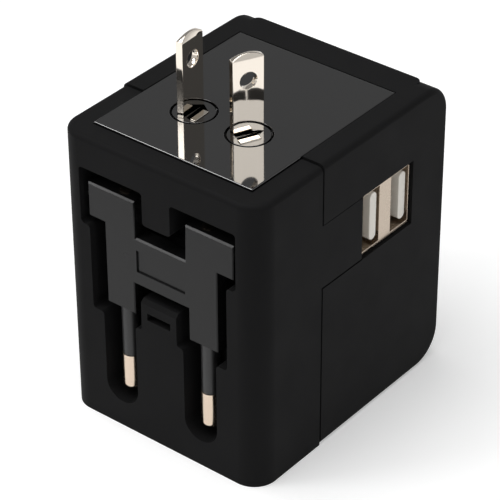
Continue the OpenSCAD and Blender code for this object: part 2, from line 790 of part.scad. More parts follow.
// Disc that turns with its prong
module disc() {
    difference() {
        union() {
            translate([0, 0, flange_z]) cylinder(r = flange_r, h = flange_t);
            translate([0, 0, flange_z + flange_t - eps]) cylinder(r = disc_r, h = plate_top - 0.1
                - flange_z - flange_t + eps);
            difference() {
                translate([0, 0, hub_z]) cylinder(r = hub_r, h = flange_z - hub_z + eps);
                translate([0, 0, clip_z]) difference() {
                    cylinder(r = hub_r + 1, h = clip_t);
                    translate([0, 0, -1]) cylinder(r = groove_r, h = clip_t + 2);
                }
            }
        }
        // mould slots around the metal
        span([prong_off - prong_t / 2, -prong_w / 2, flange_z - 0.6],
            [prong_off + prong_t / 2, prong_w / 2, far]);
        span([prong_off - prong_t / 2, -root_w / 2, 0], [prong_off + prong_t / 2, root_w / 2, far]);
        span([foot_x, foot_y[0], flange_z + 0.8], [foot_x + foot_t, foot_y[1], far]);
        span([foot_x - 1, foot_y[0] + 0.3, plate_top - 0.7], [foot_x - 0.15, foot_y[1] - 0.2, far]);
    }
}

module left_disc() color("#1d1d20")
    translate([-disc_gap / 2, disc_y, 0]) rotate(left_turn) disc();

module right_disc() color("#1d1d20")
    translate([disc_gap / 2, disc_y, 0]) rotate(-right_turn) disc();

// Open ring that snaps into the hub's groove
module disc_clip() {
    translate([0, 0, clip_z]) difference() {
        cylinder(r = hub_r + 1.6, h = clip_t);
        translate([0, 0, -1]) cylinder(r = groove_r, h = clip_t + 2);
        translate([-1.2, 0, -1]) cube([2.4, far, 5]);
    }
}

module left_disc_clip() color("#8e8e8c")
    translate([-disc_gap / 2, disc_y, 0]) rotate(left_turn) disc_clip();

module right_disc_clip() color("#8e8e8c")
    translate([disc_gap / 2, disc_y, 0]) rotate(-right_turn) disc_clip();

// Plate under the discs: the hubs turn in its two bores
module prong_carrier() color("#34343a") {
    difference() {
        span([-carrier_x, disc_y - carrier_y, carrier_top - carrier_t],
            [carrier_x, disc_y + carrier_y, carrier_top]);
        both() {
            translate([disc_gap / 2, disc_y, carrier_top - carrier_t - 1])
                cylinder(r = hub_r + shaft_gap, h = carrier_t + 2);
            for (s = [-1, 1]) translate([post_x, disc_y + s * post_y, carrier_top - carrier_t - 1])
                cylinder(r = small_screw_r + 0.1, h = carrier_t + 2);
        }
    }
}

module carrier_screws() color("#9a9a98") {
    for (sx = [-1, 1]) for (s = [-1, 1])
        translate([sx * post_x, disc_y + s * post_y, carrier_top - carrier_t - 0.7])
            screw(small_screw_len, small_head_r, small_screw_r);
}

// Upright strip with a pad under the prong's root
module busbar(z0) {
    span([bus_x - bus_w / 2, bus_y, z0], [bus_x + bus_w / 2, bus_y + bus_t, pad_z - pad_t + eps]);
    span([disc_gap / 2 - 3.2, bus_y, pad_z - pad_t], [bus_x + bus_w / 2, disc_y + 3, pad_z]);
}

// The left one starts at the fuse, the right one at the socket contact
module left_busbar() color("#c8a45c") mirror([1, 0, 0]) busbar(deck_z + 8);
module right_busbar() color("#c8a45c") busbar(leaf_top - 2);

// ======================================================================= Europlug

// Cylinder down the Europlug's right-hand pin axis
module eu_rod(r, z0, z1) {
    translate([eu_pin_x, y_front + eu_pin_depth, z0]) cylinder(r = r, h = z1 - z0);
}

module eu_frame() color("#2f2f33") {
    y0 = y_front + eu_front_depth;
    difference() {
        union() {
            intersection() {
                both() {
                    // ear and arm
                    span([eu_arm_in, y0, eu_z - eu_barrel_r], [eu_ear_w / 2, far, eu_top]);
                    span([eu_arm_in, y0, eu_bottom], [eu_arm_out, y0 + eu_arm_t, eu_z]);
                }
                union() {
                    span([-far, y0, -far], [far, y0 + eu_arm_t, eu_z]);
                    span([-far, y0, eu_z - eu_barrel_r], [far, eu_y, eu_top]);
                    rod_x(eu_barrel_r, -far, far, eu_y, eu_z);
                }
            }
            span([-eu_arm_in - 1, y0, eu_cross_top - eu_cross_h],
                [eu_arm_in + 1, y0 + eu_cross_t, eu_cross_top]);
        }
        // bevels of the upper edges
        both() translate([eu_arm_in - 1, y0, eu_top]) rotate([45, 0, 0])
            translate([0, -eu_bevel, -eu_bevel]) cube([far, 2 * eu_bevel, 2 * eu_bevel]);
        translate([-eu_arm_in, y0, eu_cross_top]) rotate([45, 0, 0])
            translate([0, -eu_bevel, -eu_bevel]) cube([2 * eu_arm_in, 2 * eu_bevel, 2 * eu_bevel]);
        // label field, left bare
        span([-5.95, y0 - 1, eu_cross_top - 7.6], [5.95, y0 + 0.35, eu_cross_top - 2.7]);
        // the arms are a little narrower under the crossbar
        both() {
            span([eu_arm_in - 1, y0 - 1, eu_bottom - 1],
                [eu_arm_in + 0.5, far, eu_cross_top - eu_cross_h]);
            eu_rod(eu_core_r, 0, far);
            eu_rod(eu_sleeve_r, 0, eu_bottom + 4);
            rod_x(axle_r, eu_pin_x + 3, far, eu_y, eu_z);
        }
    }
}

module eu_pins() color("#c9c2b0") {
    both() {
        intersection() {
            eu_rod(eu_core_r, eu_tip_z + 2, far);
            union() {
                rod_x(eu_core_end, -far, far, eu_y, eu_z);
                span([-far, -far, -far], [far, far, eu_z]);
            }
        }
        eu_rod(eu_pin_r, eu_tip_z + eu_tip_r, eu_bottom - eu_sleeve_len);
        translate([eu_pin_x, y_front + eu_pin_depth, eu_tip_z]) rotate_extrude() {
            square([eu_pin_r - eu_tip_r, 2 * eu_tip_r]);
            translate([eu_pin_r - eu_tip_r, eu_tip_r]) circle(eu_tip_r);
        }
    }
}

module eu_sleeves() color("#161617") {
    both() difference() {
        eu_rod(eu_sleeve_r, eu_bottom - eu_sleeve_len, eu_bottom + 4);
        eu_rod(eu_core_r, 0, far);
    }
}

module eu_axles() color("#a9a9a6")
    both() rod_x(axle_r, eu_pin_x + 3, eu_recess_w / 2 + tub_wall, eu_y, eu_z);

module eu_contacts() color("#c8a45c") {
    y0 = eu_y + eu_core_end + contact_gap;
    y1 = y_front + eu_deep + tub_wall + 0.3;
    zc = eu_z + eu_pivot_depth - eu_pin_depth;
    both() {
        span([eu_pin_x - 2, y0, zc - 2], [eu_pin_x + 2, y1 + 0.6, zc + 2]);
        span([eu_pin_x - 2, y1, zc - 2], [bus_x + bus_w / 2 + 0.6, y1 + 0.6, zc + 2]);
        span([bus_x + bus_w / 2, y1, zc - 2], [bus_x + bus_w / 2 + 0.6, bus_y + bus_t, zc + 2]);
    }
}

// ======================================================================= British plug

// A bar that turns about a rear hinge: half width w, hinge height z
module uk_bar(w, z) {
    y1 = y_rear - uk_front_depth;
    y0 = y1 - uk_bar_t;
    span([-w, y0, z], [w, y1, z + uk_bar_up]);
    intersection() {
        span([-w, y0, z - uk_barrel_r - 1], [w, y1, z + 1]);
        rod_x(uk_barrel_r, -w, w, uk_y, z);
    }
}

// A box around the right-hand pin's axis
module uk_box(w, t, z0, z1) {
    yc = y_rear - uk_pin_depth;
    span([uk_pin_x - w / 2, yc - t / 2, z0], [uk_pin_x + w / 2, yc + t / 2, z1]);
}

module uk_frame() color("#2a2a2e") {
    difference() {
        uk_bar(uk_bar_x, uk_z);
        both() {
            uk_box(uk_core_w, uk_core_t, 0, far);
            uk_box(uk_pin_w - 0.3, uk_pin_t - 0.3, uk_z + uk_bar_up - 2, far);
            rod_x(axle_r, uk_pin_x + 3.5, far, uk_y, uk_z);
        }
        // finger notch
        span([-4.5, y_rear - 2.4, uk_z + uk_bar_up - 2.5], [4.5, far, far]);
    }
}

module uk_pins() color("#cfcabd") {
    both() {
        intersection() {
            uk_box(uk_core_w, uk_core_t, 0, uk_pin_top - 2);
            union() {
                rod_x(uk_core_end, -far, far, uk_y, uk_z);
                span([-far, -far, uk_z], [far, far, far]);
            }
        }
        difference() {
            uk_box(uk_pin_w, uk_pin_t, uk_sleeve_top, uk_pin_top);
            for (s = [-1, 1]) translate([0, y_rear - uk_pin_depth + s * uk_pin_t / 2, uk_pin_top])
                rotate([45, 0, 0]) translate([0, -0.6, -0.6]) cube([far, 1.2, 1.2]);
            for (s = [-1, 1]) translate([uk_pin_x + s * uk_pin_w / 2, 0, uk_pin_top])
                rotate([0, 45, 0]) translate([-0.6, 0, -0.6]) cube([1.2, far, 1.2]);
        }
    }
}

module uk_sleeves() color("#161617") {
    both() difference() {
        uk_box(uk_pin_w - 0.3, uk_pin_t - 0.3, uk_z + uk_bar_up - 2, uk_sleeve_top);
        uk_box(uk_core_w, uk_core_t, 0, far);
    }
}

module uk_axles() color("#a9a9a6")
    both() rod_x(axle_r, uk_pin_x + 3.5, uk_bar_x + 0.5 + tub_wall, uk_y, uk_z);

module uk_contacts() color("#c8a45c") {
    y1 = uk_y - uk_core_end - contact_gap;
    y0 = y_rear - uk_deep - tub_wall - 0.3;
    zc = uk_z - uk_pivot_depth + uk_pin_depth;
    both() {
        span([uk_pin_x - 2.4, y0 - 0.6, zc - 1.8], [uk_pin_x + 2.4, y1, zc + 1.8]);
        span([uk_pin_x - 2.4, y0 - 0.6, zc - 1.8], [uk_pin_x + 2.4, y0, leaf_top]);
        // strip forward to the socket contact
        span([uk_pin_x - 2.4, contact_rear, leaf_top - 0.6], [uk_pin_x + 2.4, y0, leaf_top]);
    }
}

module uk_earth_pin() color("#2a2a2e") {
    yc = y_rear - uk_earth_depth;
    difference() {
        union() {
            uk_bar(uk_earth_bar_x, uk_earth_z);
            difference() {
                span([-uk_earth_w / 2, yc - uk_earth_t / 2, uk_earth_z + 1],
                    [uk_earth_w / 2, yc + uk_earth_t / 2, uk_earth_top]);
                for (s = [-1, 1]) translate([-far / 2, yc + s * uk_earth_t / 2, uk_earth_top])
                    rotate([45, 0, 0]) translate([0, -1, -1]) cube([far, 2, 2]);
            }
        }
        rod_x(axle_r, -far, far, uk_y, uk_earth_z);
    }
}

module uk_earth_axle() color("#a9a9a6")
    rod_x(axle_r, -uk_earth_bar_x - 0.5 - tub_wall, uk_earth_bar_x + 0.5 + tub_wall, uk_y, uk_earth_z);

// ======================================================================= socket

// Leaves that grip round, flat and British pins, joined by a bridge over their ends
module socket_contact() {
    bridge_y = min(bus_y + bus_t, socket_y - leaf_gap - leaf_t);
    for (s = [-1, 1]) translate([0, socket_y, 0]) scale([1, s, 1])
        span([leaf_x, leaf_gap, leaf_z], [leaf_x + leaf_w, leaf_gap + leaf_t, leaf_top]);
    for (x = [us_gap / 2 + flat_gap, us_gap / 2 - flat_gap - leaf_t])
        span([x, socket_y - contact_d, leaf_z + 2], [x + leaf_t, socket_y + contact_d, leaf_top]);
    span([us_gap / 2 - flat_gap - leaf_t, bridge_y, leaf_top - bridge_t],
        [bus_x - bus_w / 2 - 0.3, contact_rear, leaf_top]);
}

module socket_contact_left() color("#c8a45c") mirror([1, 0, 0]) socket_contact();
module socket_contact_right() color("#c8a45c") {
    socket_contact();
    span([bus_x - bus_w / 2 - 1, bus_y + bus_t, leaf_top - 2], [bus_x - 0.5, bus_y + bus_t + 1, leaf_top]);
}

module shutter() color("#d8d4cc") {
    span([-shutter_x, shutter_y0, shutter_z], [shutter_x, shutter_y0 + shutter_w, shutter_z + shutter_t]);
}

// Coil spring behind the shutter, drawn as rings on a core
module shutter_spring() color("#b5b5b2") {
    y0 = shutter_y0 + shutter_w;
    translate([0, y0, spring_z]) rotate([-90, 0, 0]) {
        difference() {
            cylinder(r = spring_r, h = spring_y1 - y0);
            translate([0, 0, -1]) cylinder(r = spring_r - 0.3, h = far);
            for (k = [0:9]) translate([0, 0, 0.5 + k * (spring_y1 - y0 - 0.5) / 10]) difference() {
                cylinder(r = spring_r + 1, h = 0.5 * (spring_y1 - y0) / 10);
                translate([-0.3, 0, -1]) cube([0.6, far, far]);
            }
        }
    }
}

// A round piece on the fuse's axis
module fuse_rod(r, z0, z1) {
    translate([-fuse_x, fuse_y, z0]) cylinder(r = r, h = z1 - z0);
}

// Glass fuse that stands on the deck
module fuse() color("#d9dcd6") {
    z1 = fuse_z + fuse_len;
    fuse_rod(fuse_r, fuse_z, fuse_z + fuse_cap);
    fuse_rod(fuse_r - 0.2, fuse_z + fuse_cap, z1 - fuse_cap);
    fuse_rod(fuse_r, z1 - fuse_cap, z1);
}

module fuse_clips() color("#c8a45c") {
    r = fuse_r + clip_wall;
    bus_out = -bus_x - bus_w / 2;
    difference() {
        union() {
            fuse_rod(r, deck_top, deck_top + clip_len);
            fuse_rod(0.8, leaf_top, deck_top + 0.5);
            fuse_rod(r, strip_z, strip_z + clip_len + 0.2);
            span([bus_out, bus_y + bus_t + 1.6, strip_z], [-fuse_x, fuse_y + 2, strip_z + strip_t]);
            span([bus_out - 0.8, bus_y, strip_z], [bus_out, fuse_y, strip_z + strip_t]);
        }
        fuse_rod(fuse_r, fuse_z, fuse_z + fuse_len);
    }
}

// ======================================================================= USB supply

// A box in the outlet: y and z count from the outlet's corner, x from the shell's mouth inwards
module usb_box(x0, x1, ya, yb, za, zb) {
    span([usb_x1 - x1, usb_y0 + ya, usb_z + za], [usb_x1 - x0, usb_y0 + yb, usb_z + zb]);
}

module usb_shell() color("#c9c5bd") {
    m = 0.2;
    difference() {
        union() {
            usb_box(0, usb_len, m, usb_w - m, m, usb_h - m);
            // feet through the board
            usb_box(2, 3.5, -board_t - 0.2, m, 2, 3.2);
            usb_box(2, 3.5, -board_t - 0.2, m, usb_h - 3.2, usb_h - 2);
        }
        for (ya = port_ys) usb_box(-1, usb_len - 0.4, ya, ya + port_w, port_za, port_za + port_h);
        usb_box(0.6, usb_len + 1, port_ys[0] + port_w + 0.4, port_ys[1] - 0.4, port_za, usb_h - 0.6);
    }
}

// Tongue with rounded ends in each port, and the block that carries it
module usb_tongues() color("#e6e0d2") {
    for (ya = port_ys) {
        yt = ya + port_w - tongue_gap - tongue_t;
        za = port_za + tongue_end + tongue_t / 2;
        zb = port_za + port_h - tongue_end - tongue_t / 2;
        usb_box(tongue_in, usb_len - 0.4, yt, yt + tongue_t, za, zb);
        for (z = [za, zb])
            rod_x(tongue_t / 2, usb_x1 - usb_len + 0.4, usb_x1 - tongue_in, usb_y0 + yt + tongue_t / 2,
                usb_z + z);
        usb_box(usb_len - 2.4, usb_len - 0.4, ya, ya + port_w, port_za, port_za + port_h);
    }
}

// Four contacts on the front side of each tongue
module usb_contacts() color("#d6b25e") {
    for (ya = port_ys) for (k = [-1.5, -0.5, 0.5, 1.5]) {
        yt = ya + port_w - tongue_gap - tongue_t;
        zc = port_za + port_h / 2 + k * 2.2;
        usb_box(tongue_in + 2.4, usb_len - 2.4, yt - 0.15, yt, zc - 0.55, zc + 0.55);
    }
}

module circuit_board() color("#2f5d3a") {
    difference() {
        span([-board_front_x, board_y, deck_top], [board_front_x, board_y + board_t, board_top]);
        // notches for the corner posts, and holes for the outlet's feet
        usb_box(2, 3.5, -board_t - 1, 1, 2, 3.2);
        usb_box(2, 3.5, -board_t - 1, 1, usb_h - 3.2, usb_h - 2);
    }
}

// Ferrite core: two outer legs and a middle one, standing against the board
module transformer_core() color("#4a4846") {
    difference() {
        span([core_x, bay_y + 2, deck_top], [core_x + core_w, bay_y + bay_d - 3, deck_top + core_h]);
        for (x = [core_x + core_leg, core_x + core_w - core_leg - core_win])
            span([x, bay_y + 1, deck_top + core_yoke], [x + core_win, far, deck_top + core_h - core_yoke]);
    }
}

module transformer_coil() color("#c9a24a") {
    difference() {
        span([core_x + core_leg, bay_y, deck_top + core_yoke],
            [core_x + core_w - core_leg, bay_y + bay_d - 1, deck_top + core_h - core_yoke]);
        span([core_x + core_leg + core_win, bay_y + 2, 0],
            [core_x + core_leg + core_win + core_mid, bay_y + bay_d - 3, far]);
    }
}

module capacitors() color("#26345c") {
    for (k = [0, 1]) translate([core_x + 2 + k * can_gap, bay_y, can_z]) rotate([-90, 0, 0])
        cylinder(r = can_r, h = bay_d - 4);
}

// A chip on the front of the board, its lower left corner x and z from the deck's middle
module chip(x, z, w, h) {
    span([x, board_y - chip_t, deck_top + z], [x + w, board_y, deck_top + z + h]);
}

module power_chips() color("#1b1b1d") {
    chip(-chip_w * 2 / 3, chip_z, chip_w, chip_h);
    chip(-chip_w * 5 / 6, 3 * chip_z, chip_w * 1.5, chip_h * 2 / 3);
    chip(chip_w * 1.2, chip_z * 1.2, chip_w * 5 / 6, chip_h * 4 / 3);
}

front_shell();
rear_shell();
prong_plate();
socket_plate();
socket_well_left();
socket_well_right();
socket_well_earth();
inner_frame();
case_screws();
left_prong();
right_prong();
left_disc();
right_disc();
left_disc_clip();
right_disc_clip();
prong_carrier();
carrier_screws();
left_busbar();
right_busbar();
eu_frame();
eu_pins();
eu_sleeves();
eu_axles();
eu_contacts();
uk_frame();
uk_pins();
uk_sleeves();
uk_axles();
uk_contacts();
uk_earth_pin();
uk_earth_axle();
socket_contact_left();
socket_contact_right();
shutter();
shutter_spring();
fuse();
fuse_clips();
usb_shell();
usb_tongues();
usb_contacts();
circuit_board();
transformer_core();
transformer_coil();
capacitors();
power_chips();
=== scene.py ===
import math

import bmesh
import bpy
from mathutils import Matrix, Vector


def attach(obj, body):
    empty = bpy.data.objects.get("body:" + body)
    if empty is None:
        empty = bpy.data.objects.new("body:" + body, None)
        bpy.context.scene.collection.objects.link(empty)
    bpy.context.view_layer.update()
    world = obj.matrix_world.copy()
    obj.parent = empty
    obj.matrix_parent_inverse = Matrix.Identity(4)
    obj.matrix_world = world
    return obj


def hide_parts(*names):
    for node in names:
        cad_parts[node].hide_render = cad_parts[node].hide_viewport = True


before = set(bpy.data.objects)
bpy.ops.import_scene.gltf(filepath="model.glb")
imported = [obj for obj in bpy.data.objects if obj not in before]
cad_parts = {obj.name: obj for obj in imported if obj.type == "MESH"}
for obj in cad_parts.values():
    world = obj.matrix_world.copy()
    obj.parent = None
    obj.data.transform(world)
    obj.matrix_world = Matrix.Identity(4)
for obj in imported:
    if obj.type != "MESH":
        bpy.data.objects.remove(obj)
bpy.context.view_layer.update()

bl_info = {
    "name": "Travel adapter",
    "version": (1, 0, 0),
    "blender": (4, 5, 0),
    "location": "View3D > Sidebar > Adapter",
    "description": "Dresses the packed travel adapter and sets its stage",
    "category": "Object",
}

# ways that a face can look
FRONT = Vector((0, -1, 0))
REAR = Vector((0, 1, 0))
TOP = Vector((0, 0, 1))

# cleaning of a CAD mesh before its edges are rounded
MERGE_WITHIN = 0.000002
SLIVER = 0.000001
FLAT_ANGLE = 0.4           # degrees

# rounding of edges
ROUND_SEGMENTS = 2
ROUND_ANGLE = 28.0         # degrees; flatter edges aren't rounded
CORNER_SEGMENTS = 4

# how the edges around a piece's outermost face are found
SAME_LEVEL = 0.00002       # an edge this close to the outermost face lies in it
RIM_LEAST = 0.001          # length of a rim edge, and depth of the side behind it
CORNER_LEAST = 0.002       # length of a corner edge
SIDEWAYS = 0.1             # a side face's normal has less than this share along the given way
STRAIGHT = 0.999           # share of a corner edge's length that runs straight back
SQUARE_TURN = 1.4          # radians; a right angle is 1.57

# floor and wall of the stage
FLOOR_HALF = 3.0
WALL_RADIUS = 2.9
WALL_HEIGHT = 1.2
WALL_MIDDLE = 0.55
WALL_SEGMENTS = 96


# ---------------------------------------------------------------- settings

class AdapterFinishes(bpy.types.PropertyGroup):
    """Colours and roughness of the adapter's finishes"""
    case_colour: bpy.props.FloatVectorProperty(
        name="Case colour", description="Matte plastic of both shells",
        subtype="COLOR", size=3, default=(0.0102, 0.0102, 0.0105), min=0, max=1)
    case_roughness: bpy.props.FloatProperty(
        name="Case roughness", description="Roughness of both shells",
        subtype="FACTOR", default=0.58, min=0, max=1)
    gloss_colour: bpy.props.FloatVectorProperty(
        name="Plate colour", description="Glossy plate around the prongs, and their discs",
        subtype="COLOR", size=3, default=(0.0040, 0.0040, 0.0043), min=0, max=1)
    frame_colour: bpy.props.FloatVectorProperty(
        name="Plug frame colour", description="Satin plastic of the folding frames",
        subtype="COLOR", size=3, default=(0.0076, 0.0076, 0.0079), min=0, max=1)
    frame_roughness: bpy.props.FloatProperty(
        name="Plug frame roughness", description="Roughness of the folding frames",
        subtype="FACTOR", default=0.24, min=0, max=1)
    nickel_colour: bpy.props.FloatVectorProperty(
        name="Nickel colour", description="Plating of the flat prongs",
        subtype="COLOR", size=3, default=(0.84, 0.77, 0.68), min=0, max=1)
    pin_colour: bpy.props.FloatVectorProperty(
        name="Pin colour", description="Metal of the round and the rectangular pins",
        subtype="COLOR", size=3, default=(0.66, 0.54, 0.43), min=0, max=1)
    outlet_colour: bpy.props.FloatVectorProperty(
        name="Outlet colour", description="Metal shell of the USB outlet",
        subtype="COLOR", size=3, default=(0.50, 0.42, 0.34), min=0, max=1)
    tongue_colour: bpy.props.FloatVectorProperty(
        name="Tongue colour", description="Plastic tongues in the USB outlet",
        subtype="COLOR", size=3, default=(0.90, 0.86, 0.78), min=0, max=1)
    brass_colour: bpy.props.FloatVectorProperty(
        name="Brass colour", description="Contacts and busbars",
        subtype="COLOR", size=3, default=(0.70, 0.50, 0.22), min=0, max=1)


class AdapterEdges(bpy.types.PropertyGroup):
    """Widths of the small rounds on moulded and stamped edges"""
    case_edge: bpy.props.FloatProperty(
        name="Case edge", description="Round on the sharp edges of shells and socket plate",
        subtype="DISTANCE", unit="LENGTH", default=0.00014, min=0, max=0.001)
    recess_corner: bpy.props.FloatProperty(
        name="Recess corner", description="Radius of the corners of both plug recesses",
        subtype="DISTANCE", unit="LENGTH", default=0.0007, min=0, max=0.001)
    plate_rim: bpy.props.FloatProperty(
        name="Plate rim", description="Crisp bevel around the glossy plate",
        subtype="DISTANCE", unit="LENGTH", default=0.00016, min=0, max=0.001)
    frame_rim: bpy.props.FloatProperty(
        name="Frame rim", description="Crisp bevel around the front of the round-pin plug's frame",
        subtype="DISTANCE", unit="LENGTH", default=0.0002, min=0, max=0.001)
    frame_edge: bpy.props.FloatProperty(
        name="Frame edge", description="Round on the edges of the folding frames and the earth pin",
        subtype="DISTANCE", unit="LENGTH", default=0.00025, min=0, max=0.001)
    tongue_edge: bpy.props.FloatProperty(
        name="Tongue edge", description="Round on the edges of the USB tongues",
        subtype="DISTANCE", unit="LENGTH", default=0.0003, min=0, max=0.001)
    fine_edge: bpy.props.FloatProperty(
        name="Fine edge", description="Round on metal, pin sleeves, glossy plate and discs",
        subtype="DISTANCE", unit="LENGTH", default=0.0001, min=0, max=0.001)


class AdapterStage(bpy.types.PropertyGroup):
    """Floor, light and camera"""
    floor_colour: bpy.props.FloatVectorProperty(
        name="Floor colour", description="Pale floor under the adapter",
        subtype="COLOR", size=3, default=(0.92, 0.92, 0.92), min=0, max=1)
    floor_glow: bpy.props.FloatProperty(
        name="Floor glow", description="What the floor gives off to reach white, shadow kept",
        default=0.30, min=0, max=1)
    wall_glow: bpy.props.FloatProperty(
        name="Wall glow", description="What the wall behind gives off to reach white",
        default=0.36, min=0, max=1)
    room_level: bpy.props.FloatProperty(
        name="Room level", description="Brightness of the surrounding room",
        default=0.25, min=0, max=5)
    key_power: bpy.props.FloatProperty(
        name="Key light", description="Power of the large soft box above",
        subtype="POWER", unit="POWER", default=2.4, min=0, max=50)
    key_place: bpy.props.FloatVectorProperty(
        name="Key place", description="Where the soft box above hangs",
        subtype="TRANSLATION", unit="LENGTH", size=3, default=(-0.10, -0.10, 0.60))
    key_size: bpy.props.FloatProperty(
        name="Key size", description="Side of the soft box above",
        subtype="DISTANCE", unit="LENGTH", default=0.45, min=0.01, max=2)
    fill_power: bpy.props.FloatProperty(
        name="Fill light", description="Power of the soft box at the front left",
        subtype="POWER", unit="POWER", default=0.8, min=0, max=50)
    fill_place: bpy.props.FloatVectorProperty(
        name="Fill place", description="Where the soft box at the front left hangs",
        subtype="TRANSLATION", unit="LENGTH", size=3, default=(-0.34, -0.39, 0.47))
    fill_size: bpy.props.FloatProperty(
        name="Fill size", description="Side of the soft box at the front left",
        subtype="DISTANCE", unit="LENGTH", default=0.17, min=0.01, max=2)
    side_power: bpy.props.FloatProperty(
        name="Side light", description="Power of the soft box at the right",
        subtype="POWER", unit="POWER", default=0.6, min=0, max=50)
    side_place: bpy.props.FloatVectorProperty(
        name="Side place", description="Where the soft box at the right hangs",
        subtype="TRANSLATION", unit="LENGTH", size=3, default=(0.50, -0.09, 0.40))
    side_size: bpy.props.FloatProperty(
        name="Side size", description="Side of the soft box at the right",
        subtype="DISTANCE", unit="LENGTH", default=0.23, min=0.01, max=2)
    camera_place: bpy.props.FloatVectorProperty(
        name="Camera place", description="Where the camera stands",
        subtype="TRANSLATION", unit="LENGTH", size=3, default=(0.25325, -0.31519, 0.30569))
    camera_right: bpy.props.FloatVectorProperty(
        name="Camera right", description="Way that the right side of the view points",
        subtype="DIRECTION", size=3, default=(0.7796, 0.6263, -0.0043))
    camera_back: bpy.props.FloatVectorProperty(
        name="Camera back", description="Way from the adapter to the camera",
        subtype="DIRECTION", size=3, default=(0.5196, -0.6430, 0.5627))
    camera_lens: bpy.props.FloatProperty(
        name="Lens", description="Focal length", subtype="DISTANCE_CAMERA",
        default=179.2, min=20, max=400)


# ---------------------------------------------------------------- materials

def new_material(name):
    """A material with its node tree and its Principled shader."""
    material = bpy.data.materials.new(name)
    material.use_nodes = True
    return material, material.node_tree, material.node_tree.nodes["Principled BSDF"]


def grain(tree, bsdf, scale, depth):
    """Fine surface grain on Object coordinates, as bump."""
    nodes, links = tree.nodes, tree.links
    place = nodes.new("ShaderNodeTexCoord")
    noise = nodes.new("ShaderNodeTexNoise")
    noise.inputs["Scale"].default_value = scale
    noise.inputs["Detail"].default_value = 3.0
    links.new(place.outputs["Object"], noise.inputs["Vector"])
    bump = nodes.new("ShaderNodeBump")
    bump.inputs["Strength"].default_value = 1.0
    bump.inputs["Distance"].default_value = depth
    links.new(noise.outputs["Fac"], bump.inputs["Height"])
    links.new(bump.outputs["Normal"], bsdf.inputs["Normal"])
    return place, noise


def cloud(tree, place, socket, scale, low, high):
    """Slow variation between two numbers, fed to a socket."""
    nodes, links = tree.nodes, tree.links
    noise = nodes.new("ShaderNodeTexNoise")
    noise.inputs["Scale"].default_value = scale
    noise.inputs["Detail"].default_value = 4.0
    links.new(place.outputs["Object"], noise.inputs["Vector"])
    spread = nodes.new("ShaderNodeMapRange")
    spread.inputs["From Min"].default_value = 0.3
    spread.inputs["From Max"].default_value = 0.7
    spread.inputs["To Min"].default_value = low
    spread.inputs["To Max"].default_value = high
    links.new(noise.outputs["Fac"], spread.inputs["Value"])
    links.new(spread.outputs["Result"], socket)


def moulded_plastic(name, colour, roughness, sheen=0.5):
    """Plastic with the fine grain of its mould; sheen is how strongly it reflects."""
    material, tree, bsdf = new_material(name)
    bsdf.inputs["Base Color"].default_value = (*colour, 1)
    bsdf.inputs["IOR"].default_value = 1.5
    bsdf.inputs["Specular IOR Level"].default_value = sheen
    place, _ = grain(tree, bsdf, scale=4000.0, depth=0.000006)
    cloud(tree, place, bsdf.inputs["Roughness"], scale=120.0, low=roughness - 0.04, high=roughness + 0.04)
    return material


def glossy_plastic(name, colour, roughness):
    """Polished lacquer that mirrors what stands on it."""
    material, tree, bsdf = new_material(name)
    bsdf.inputs["Base Color"].default_value = (*colour, 1)
    bsdf.inputs["IOR"].default_value = 2.1
    place, _ = grain(tree, bsdf, scale=260.0, depth=0.000001)
    cloud(tree, place, bsdf.inputs["Roughness"], scale=60.0, low=roughness, high=roughness + 0.03)
    return material


def plated_metal(name, colour, roughness, grain_depth=0.000004):
    """Plated or stamped metal, with patches that shine more and less."""
    material, tree, bsdf = new_material(name)
    bsdf.inputs["Base Color"].default_value = (*colour, 1)
    bsdf.inputs["Metallic"].default_value = 1.0
    place, _ = grain(tree, bsdf, scale=900.0, depth=grain_depth)
    cloud(tree, place, bsdf.inputs["Roughness"], scale=300.0, low=roughness * 0.7, high=roughness * 1.3)
    return material


def two_tone(name, first, second, roughness, scale):
    """Speckled finish between two colours."""
    material, tree, bsdf = new_material(name)
    bsdf.inputs["Roughness"].default_value = roughness
    _, noise = grain(tree, bsdf, scale, depth=0.00001)
    ramp = tree.nodes.new("ShaderNodeValToRGB")
    ramp.color_ramp.elements[0].position = 0.4
    ramp.color_ramp.elements[1].position = 0.6
    ramp.color_ramp.elements[0].color = (*first, 1)
    ramp.color_ramp.elements[1].color = (*second, 1)
    tree.links.new(noise.outputs["Fac"], ramp.inputs["Fac"])
    tree.links.new(ramp.outputs["Color"], bsdf.inputs["Base Color"])
    return material


def glowing_white(name, colour, glow, sheen=0.5):
    """White that glows a little for the camera and in reflections, yet keeps the shadows on it."""
    material, tree, bsdf = new_material(name)
    nodes, links = tree.nodes, tree.links
    bsdf.inputs["Base Color"].default_value = (*colour, 1)
    bsdf.inputs["Roughness"].default_value = 0.6
    bsdf.inputs["Specular IOR Level"].default_value = sheen
    path = nodes.new("ShaderNodeLightPath")
    seen = path.outputs["Is Camera Ray"]
    for ray in ("Is Glossy Ray", "Is Transmission Ray"):
        either = nodes.new("ShaderNodeMath")
        either.operation = "MAXIMUM"
        links.new(seen, either.inputs[0])
        links.new(path.outputs[ray], either.inputs[1])
        seen = either.outputs[0]
    emission = nodes.new("ShaderNodeEmission")
    emission.inputs["Strength"].default_value = glow
    both = nodes.new("ShaderNodeAddShader")
    links.new(bsdf.outputs[0], both.inputs[0])
    links.new(emission.outputs[0], both.inputs[1])
    mix = nodes.new("ShaderNodeMixShader")
    links.new(seen, mix.inputs["Fac"])
    links.new(bsdf.outputs[0], mix.inputs[1])
    links.new(both.outputs[0], mix.inputs[2])
    links.new(mix.outputs[0], nodes["Material Output"].inputs["Surface"])
    return material


# ---------------------------------------------------------------- modelling

